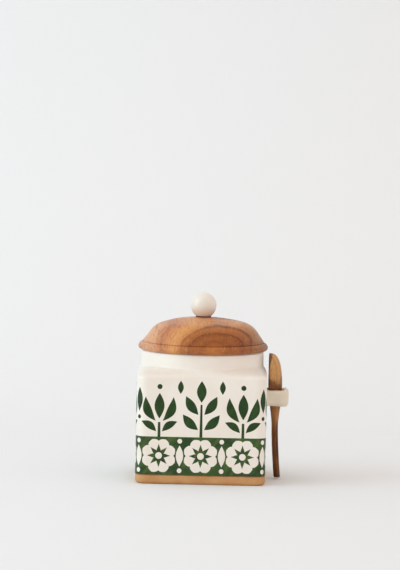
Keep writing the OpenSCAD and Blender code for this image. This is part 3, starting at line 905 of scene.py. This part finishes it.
def make_loop(glaze):
    section = loop_section()
    middle_z = (LOOP_LOW.z + LOOP_HIGH.z) / 2
    rings = []
    for place, way, out in loop_path():
        side = Vector((way.y, -way.x, 0))
        near = max(0.0, 1 - max(out, 0.0) / LOOP_FILLET)
        flare = LOOP_FILLET * (1 - math.sqrt(max(0.0, 1 - near * near)))
        ring = []
        for p in section:
            push = p.normalized() * flare
            point = place + side * (p.x + push.x * LOOP_ROOT_SHARE) + Vector((0, 0, middle_z + p.y + push.y))
            end = point.x - BODY_HALF
            if p.y > 0:
                point.z += LOOP_RISE * ease((end - RISE_FROM) / RISE_L) * p.y * 2 / LOOP_H
            else:
                sag = LOOP_SAG * ease((end - SAG_FROM) / SAG_L) - LOOP_LIFT
                point.z += sag * p.y * 2 / LOOP_H
            dip = LOOP_DENT_T * (0.5 + 0.5 * noise.noise(point / LOOP_DENT_L))
            ring.append(point - (side * p.x + Vector((0, 0, p.y))).normalized() * dip)
        rings.append(ring)
    made = loft("strap_loop", rings)
    return dress(made, "jar", (glaze,), ["scoop_loop"])


# Lid, knob and their small parts

BEAD_R = 4.8 * MM
BEAD_LOW_R = 2.8 * MM
BEAD_END = 77
GROOVE_HALF = 0.4 * MM
# The groove's line, in millimetres inward and up from the dome's foot
GROOVE_LINE = ((0.36, -0.48), (0.8, -0.30), (0.76, -0.05), (0.36, 0.22), (0.30, 0.55))
CROWN_R = 175 * MM
FLANK_LEAN = 34.5
FLANK_L = 12.4 * MM
SCREW_HOLE_R = 2.25 * MM


def dome_profile():
    """The lid's profile: underside, bead, groove, flank, bend and crown."""
    lid_z, top_z = LID_LOW.z, LID_HIGH.z
    edge_r, wide_z = LID_HIGH.x, lid_z + BEAD_LOW_R
    bead_end = math.radians(BEAD_END)
    dome_z = wide_z + BEAD_R * math.sin(bead_end) + GROOVE_HALF
    groove_r = edge_r - BEAD_R + BEAD_R * math.cos(bead_end)
    lean = math.radians(FLANK_LEAN)
    crown_c = Vector((0, top_z - CROWN_R))
    out = Vector((math.cos(lean), math.sin(lean)))
    flank_top = Vector((groove_r, dome_z)) + FLANK_L * Vector((-math.sin(lean), math.cos(lean)))
    off = flank_top - crown_c
    bend_r = (CROWN_R * CROWN_R - off.dot(off)) / (2 * (CROWN_R - off.dot(out)))
    bend_c = flank_top - bend_r * out
    bend_end = math.degrees(math.atan2(bend_c.y - crown_c.y, bend_c.x))
    bead = arc((edge_r - BEAD_LOW_R, wide_z), BEAD_LOW_R, -90, 0, 12)
    bead += arc((edge_r - BEAD_R, wide_z), BEAD_R, 0, BEAD_END, 20)[1:]
    groove = [Vector((groove_r - r * MM, dome_z + z * MM)) for r, z in GROOVE_LINE]
    flank = [Vector((groove_r, dome_z)).lerp(flank_top, t) for t in (0.3, 0.6, 0.8)]
    bend = arc(bend_c, bend_r, FLANK_LEAN, bend_end, 26)
    crown = [p for p in arc(crown_c, CROWN_R, bend_end, 90, 20)[1:] if p.x > SCREW_HOLE_R]
    under = [Vector((r * MM, lid_z)) for r in (12, 30, 48, 56)]
    return ([Vector((SCREW_HOLE_R, lid_z))] + under + bead + groove + flank + bend + crown
            + [Vector((SCREW_HOLE_R, top_z))])


# Depth and length of the knob's unevenness, and the height in which it sets in
KNOB_DENT_T, KNOB_DENT_L, KNOB_DENT_RISE = 0.16 * MM, 11 * MM, 5 * MM
# How far the lid's left has shrunk at the bead and the flank, and sunk, and the radii and heights over its
# underside where this sets in and ends
SHRUNK_BEAD, SHRUNK_FLANK, SUNK = 0.5 * MM, 1.4 * MM, 1 * MM
SHRUNK_R, SHRUNK_L = 20 * MM, 20 * MM
SUNK_R, SUNK_L = 26 * MM, 16 * MM
FLANK_RISE, FLANK_END, FLANK_FADE = 9 * MM, 14 * MM, 14 * MM
SUNK_FROM, SUNK_RISE = 10 * MM, 10 * MM


def shrunk(place):
    """How the lid has shrunk across its grain, most on its left flank."""
    flat = Vector((place.x, place.y, 0))
    r, up = flat.length, place.z - LID_LOW.z
    if r < SHRUNK_R:
        return Vector()
    left = max(0.0, -place.x / r) ** 2
    high = ease(up / FLANK_RISE) * (1 - ease((up - FLANK_END) / FLANK_FADE))
    drop = left * ease((r - SUNK_R) / SUNK_L) * ease((up - SUNK_FROM) / SUNK_RISE) * SUNK
    draw = left * mix(SHRUNK_BEAD, SHRUNK_FLANK, high) * ease((r - SHRUNK_R) / SHRUNK_L)
    return -flat.normalized() * draw - Vector((0, 0, drop))


def make_lid(wood, plug_wood):
    dome = turned("lid_turned", dome_profile(), steps=224, sharp=62, wobble=shrunk)
    dress(dome, "lid", (wood,), ["lid_dome"])

    plug_r, top_z, low_z = PLUG_HIGH.x, PLUG_HIGH.z, PLUG_LOW.z
    groove_z, groove_half, groove_r = (low_z + top_z) / 2, 2.2 * MM, plug_r - 3 * MM
    floor_z, bore, mid_r = low_z + 5 * MM, 6.25 * MM, 30 * MM
    points = [(SCREW_HOLE_R, top_z), (SCREW_HOLE_R, floor_z), (bore, floor_z), (bore, low_z), (mid_r, low_z),
              (plug_r, low_z), (plug_r, groove_z - groove_half), (groove_r, groove_z - groove_half),
              (groove_r, groove_z + groove_half), (plug_r, groove_z + groove_half), (plug_r, top_z),
              (mid_r, top_z)]
    radii = (0, 0.3, 0.3, 0.6, 0, 1.2, 0.4, 0.3, 0.3, 0.4, 0, 0)
    plug = lathed("plug_turned", points, radii, 160, 50)
    dress(plug, "lid", (plug_wood,), ["lid_plug"])


def make_seal(rubber):
    """A soft ring with two lips that lean out to the neck."""
    tip_r, band_r = SEAL_HIGH.x, PLUG_HIGH.x - 2.65 * MM
    root_r = PLUG_HIGH.x - 1.5 * MM
    z, half = (SEAL_LOW.z + SEAL_HIGH.z) / 2, (SEAL_HIGH.z - SEAL_LOW.z) / 2
    lip = half * 0.55
    points = [(band_r, z - half), (root_r, z - half), (tip_r, z - half + lip / 2), (tip_r, z - half + lip),
              (root_r, z), (tip_r, z + half - lip / 2), (tip_r, z + half), (root_r, z + half),
              (band_r, z + half)]
    made = lathed("seal_soft", points, (0, 0.4, 0.22, 0.22, 0.5, 0.22, 0.22, 0.4, 0), 160, 60)
    dress(made, "seal_ring", (rubber,), ["lid_seal"])


def make_knob(glaze, pad_leather):
    """A ball, flat below, hollow for its insert and a little uneven."""
    seat_z, top_z, r = KNOB_LOW.z, KNOB_HIGH.z, KNOB_HIGH.x
    centre_z = top_z - r
    seat_r = math.sqrt(r * r - (centre_z - seat_z) ** 2)
    hole_r, hole_z = 4.05 * MM, INSERT_HIGH.z + 0.8 * MM
    start = -math.degrees(math.acos(seat_r / r))
    ball = arc((0, centre_z), r, start, 90, 60)[:-1]
    edge = rounded([(hole_r, seat_z), (seat_r, seat_z), tuple(ball[3])], [0, 0.7 * MM, 0], 6)
    profile = [Vector((0, hole_z)), Vector((hole_r, hole_z))] + edge + ball[4:] + [Vector((0, top_z))]

    def wobble(p):
        dip = ease((p.z - seat_z) / KNOB_DENT_RISE) * (0.5 + 0.5 * noise.noise(p / KNOB_DENT_L))
        return -(p - Vector((0, 0, centre_z))).normalized() * KNOB_DENT_T * dip

    made = turned("knob_ball", profile, steps=128, sharp=50, wobble=wobble)
    dress(made, "lid", (glaze,), ["knob"])

    low_z, high_z, pad_r = PAD_LOW.z, PAD_HIGH.z, PAD_HIGH.x
    points = [(SCREW_HOLE_R, low_z), (pad_r, low_z), (pad_r, high_z), (SCREW_HOLE_R, high_z)]
    pad = lathed("pad_washer", points, (0, 0.35, 0.45, 0), 128, 50)
    dress(pad, "lid", (pad_leather,), ["knob_pad"])


def dress_metal(brass, steel):
    """The hidden insert, screw and washer keep their solids and get their finish."""
    for name, finish in (("knob_insert", brass), ("knob_screw", steel), ("screw_washer", steel)):
        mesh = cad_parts[name].data
        mesh.materials.clear()
        mesh.materials.append(finish)


# Scoop
# Its section at height h over the loop's top has a back and a front, both half ovals on one line.

HANDLE_L = LOOP_HIGH.z - SCOOP_LOW.z
BOWL_L = 36 * MM
BOWL_HALF = 14 * MM
BOWL_DEPTH = 13.6 * MM
BOWL_WALL = 3.4 * MM
BOWL_RIM = 2.4 * MM
HANDLE_HALF = 4 * MM
HANDLE_T = 6.5 * MM
HANDLE_RIM = 0.4 * MM
RIM_GAP = 2.2 * MM
SCOOP_TURN = 1
LOOP_GAP_HALF = 10 * MM
SEAT_HALF = LOOP_GAP_HALF + 2 * LOOP_EDGE_R - math.sqrt(2) * (LOOP_EDGE_R + 0.3 * MM)
HEEL_L = 1.5 * (BOWL_HALF - HANDLE_HALF)
HEEL_Z = (BOWL_HALF + HANDLE_HALF) / 2 - SEAT_HALF - HEEL_L / 2
THIN_L = HANDLE_L * 0.43
FADE_L = HANDLE_L * 0.16
HANDLE_MID_SHARE = 0.515
HANDLE_KICK_SHARE = 0.235
HOLLOW_SHARE = 0.34
HANDLE_END_SHARE = 0.85
HANDLE_END_L = 2 * MM
TIP_SHARE = 0.9994


def scoop_half(h):
    wide = BOWL_HALF * math.sqrt(max(0.0, 1 - (max(h, 0) / BOWL_L) ** 5))
    return mix(HANDLE_HALF, wide, ease((h - HEEL_Z) / HEEL_L))


def scoop_depth(h):
    if h > 0:
        return BOWL_DEPTH * (1 - (h / BOWL_L) ** 2.5) ** 0.35
    return mix(HANDLE_T, BOWL_DEPTH, ease(1 + h / THIN_L))


def scoop_mid(h):
    if h > 0:
        return scoop_depth(h) / 2
    kick = BOWL_DEPTH * HANDLE_KICK_SHARE * (max(-h - THIN_L, 0) / (HANDLE_L - THIN_L)) ** 1.5
    return mix(BOWL_DEPTH * HANDLE_MID_SHARE, BOWL_DEPTH / 2, ease(1 + h / THIN_L)) + kick


def scoop_hollow(h):
    return max(scoop_depth(h) - BOWL_WALL, 0) * ease(h / (BOWL_L * HOLLOW_SHARE))


def softened(line, passes=2):
    """A closed line with its corners cut again and again."""
    for _ in range(passes):
        cut = []
        for i, p in enumerate(line):
            q = line[(i + 1) % len(line)]
            cut += [p.lerp(q, 0.25), p.lerp(q, 0.75)]
        line = cut
    return line


def scoop_ring(h, narrow=1.0, steps=16):
    mid, deep = scoop_mid(h), scoop_depth(h)
    line = mid * (1 - ease(1 + h / FADE_L))
    back = mid + deep / 2 - line
    front = (scoop_hollow(h) if h > 0 else mid - deep / 2) - line
    half = scoop_half(h)
    rim = min(mix(HANDLE_RIM, BOWL_RIM, ease((h - HEEL_Z) / HEEL_L)), half / 2)
    turns = [mix(-math.pi / 2, math.pi / 2, t) for t in shares(steps)]
    ring = softened([Vector((line + back * math.cos(a), half * math.sin(a))) for a in turns]
                    + [Vector((line + front * math.cos(a), (half - rim) * math.sin(a))) for a in turns[::-1]])
    return [Vector((mid + (p.x - mid) * narrow, p.y * narrow, h)) for p in ring]


def make_scoop(wood):
    heights = [(-HANDLE_L + HANDLE_END_L * (1 - cos), mix(HANDLE_END_SHARE, 1.0, sin))
               for _, sin, cos in quarter(8)]
    heights += [(mix(-HANDLE_L + HANDLE_END_L, -THIN_L, t), 1.0) for t in shares(34)[1:]]
    heights += [(mix(-THIN_L, 0, t), 1.0) for t in shares(40)[1:]]
    heights += [(BOWL_L * TIP_SHARE * sin, 1.0) for _, sin, _ in quarter(48)[1:]]
    place = Vector((BODY_HALF + RIM_GAP, 0, LOOP_TOP_Z))
    turn = Euler((0, 0, math.radians(SCOOP_TURN))).to_matrix()
    rings = [[place + turn @ p for p in scoop_ring(h, narrow)] for h, narrow in heights]
    made = loft("scoop_carved", rings, sharp=70)
    dress(made, "hanging_scoop", (wood,), ["scoop"])


# Studio

CAMERA_BACK = 4.0
CAMERA_X = -0.0041
CAMERA_Z = 0.498
AIM_Z = 0.1927
CAMERA_ROLL = 1.25
CAMERA_LENS = 254
FILM = 36
# How much darker than its colour the paper gets in places
PAPER_TOOTH = 0.997


def make_camera():
    data = bpy.data.cameras.new("camera")
    data.sensor_width = FILM
    data.lens = CAMERA_LENS
    data.clip_end = 30
    camera = linked("camera", data)
    pitch = math.atan2(CAMERA_Z - AIM_Z, CAMERA_BACK)
    camera.location = (CAMERA_X, -CAMERA_BACK, CAMERA_Z)
    look = Euler((math.pi / 2 - pitch, 0, 0)).to_matrix()
    roll = Euler((0, 0, math.radians(CAMERA_ROLL))).to_matrix()
    camera.rotation_euler = (look @ roll).to_euler()
    bpy.context.scene.camera = camera
    bpy.context.scene.view_settings.view_transform = "Standard"


def paper(name, colour, clear_behind=False):
    """Pale matte paper, which can be clear from behind so that it hides nothing there."""
    g = Graph(name, 0.9, Specular_IOR_Level=0.1)
    tooth = [c * PAPER_TOOTH for c in linear(*colour)[:3]] + [1.0]
    g.set("Base Color", g.blend(g.noise(g.about(), 0.02, 3.0), tooth, colour))
    if clear_behind:
        behind = g.node("ShaderNodeNewGeometry").outputs["Backfacing"]
        clear = g.node("ShaderNodeBsdfTransparent").outputs[0]
        mixed = g.node("ShaderNodeMixShader", (behind, g.shader.outputs[0], clear)).outputs[0]
        g.feed(g.tree.nodes["Material Output"].inputs["Surface"], mixed)
    return g.material


def make_stage():
    """A wide pale floor, and behind the object a cove and a wall of the same paper."""
    far, half_w, back, cove, top = 60.0, 4.0, 0.9, 0.5, 4.0
    pale = (238, 238, 237)
    floor = piece("paper_floor", [(-far, -far, 0), (far, -far, 0), (far, far, 0), (-far, far, 0)],
                  [(0, 1, 2, 3)])
    floor.data.materials.append(paper("paper", pale))
    line = arc((back - cove, cove), cove, -90, 0, 24) + [Vector((back, 1.5)), Vector((back, top))]
    vertices = [(x, p.x, p.y) for p in line for x in (-half_w, half_w)]
    faces = [(2 * i, 2 * i + 1, 2 * i + 3, 2 * i + 2) for i in range(len(line) - 1)]
    wall = piece("paper_wall", vertices, faces)
    wall.data.materials.append(paper("wall_paper", pale, clear_behind=True))


def make_light():
    """An even, slightly warm sky and one large, soft, cool lamp at the left."""
    world = bpy.data.worlds.new("studio")
    bpy.context.scene.world = world
    world.use_nodes = True
    back = world.node_tree.nodes["Background"]
    back.inputs["Color"].default_value = (1.0, 0.924, 0.894, 1)
    back.inputs["Strength"].default_value = 0.94
    lamp = bpy.data.lights.new("key", "AREA")
    lamp.shape = "DISK"
    lamp.size = 2.2
    lamp.energy = 23.5
    lamp.color = (0.541, 0.843, 1.0)
    place, target = Vector((-2.05, -0.70, 1.0)), Vector((0, 0, 0.08))
    key = linked("key", lamp)
    key.location = place
    key.rotation_euler = (target - place).to_track_quat("-Z", "Y").to_euler()


def main():
    cream = cream_glaze("cream_glaze", (242, 234, 222), (238, 228, 214))
    # Painted shade: the strap's glaze is a darker, yellower copy of the cream glaze.
    strap = cream_glaze("strap_glaze_shaded", (231, 219, 197), (222, 208, 184))
    broken = cream_glaze("broken_glaze", (134, 100, 66), (112, 82, 52))
    ivory = cream_glaze("ivory_glaze", (237, 228, 215), (229, 218, 202), speck=0.1, gloss=1.0)
    clay = bare_clay()
    dark = green_paint("leaf_green", (28, 56, 21), (36, 66, 22), (58, 84, 28), 0.45)
    band = green_paint("band_green", (38, 66, 30), (58, 86, 38), (88, 110, 50), 0.55)
    wood = lid_wood("lid_wood", (12.5 * MM, -48 * MM, 134 * MM), (8, 0, 0))
    plug_wood = lid_wood("plug_wood", (-24 * MM, 0, 96 * MM), (0, 0, 14))

    make_jar(cream, clay, broken)
    make_painting(dark, band)
    make_loop(strap)
    make_lid(wood, plug_wood)
    make_seal(silicone())
    make_knob(ivory, leather())
    dress_metal(turned_metal("brass", (212, 172, 92), (186, 142, 70)),
                turned_metal("steel", (196, 198, 200), (160, 162, 166)))
    make_scoop(scoop_wood())
    make_camera()
    make_stage()
    make_light()


main()
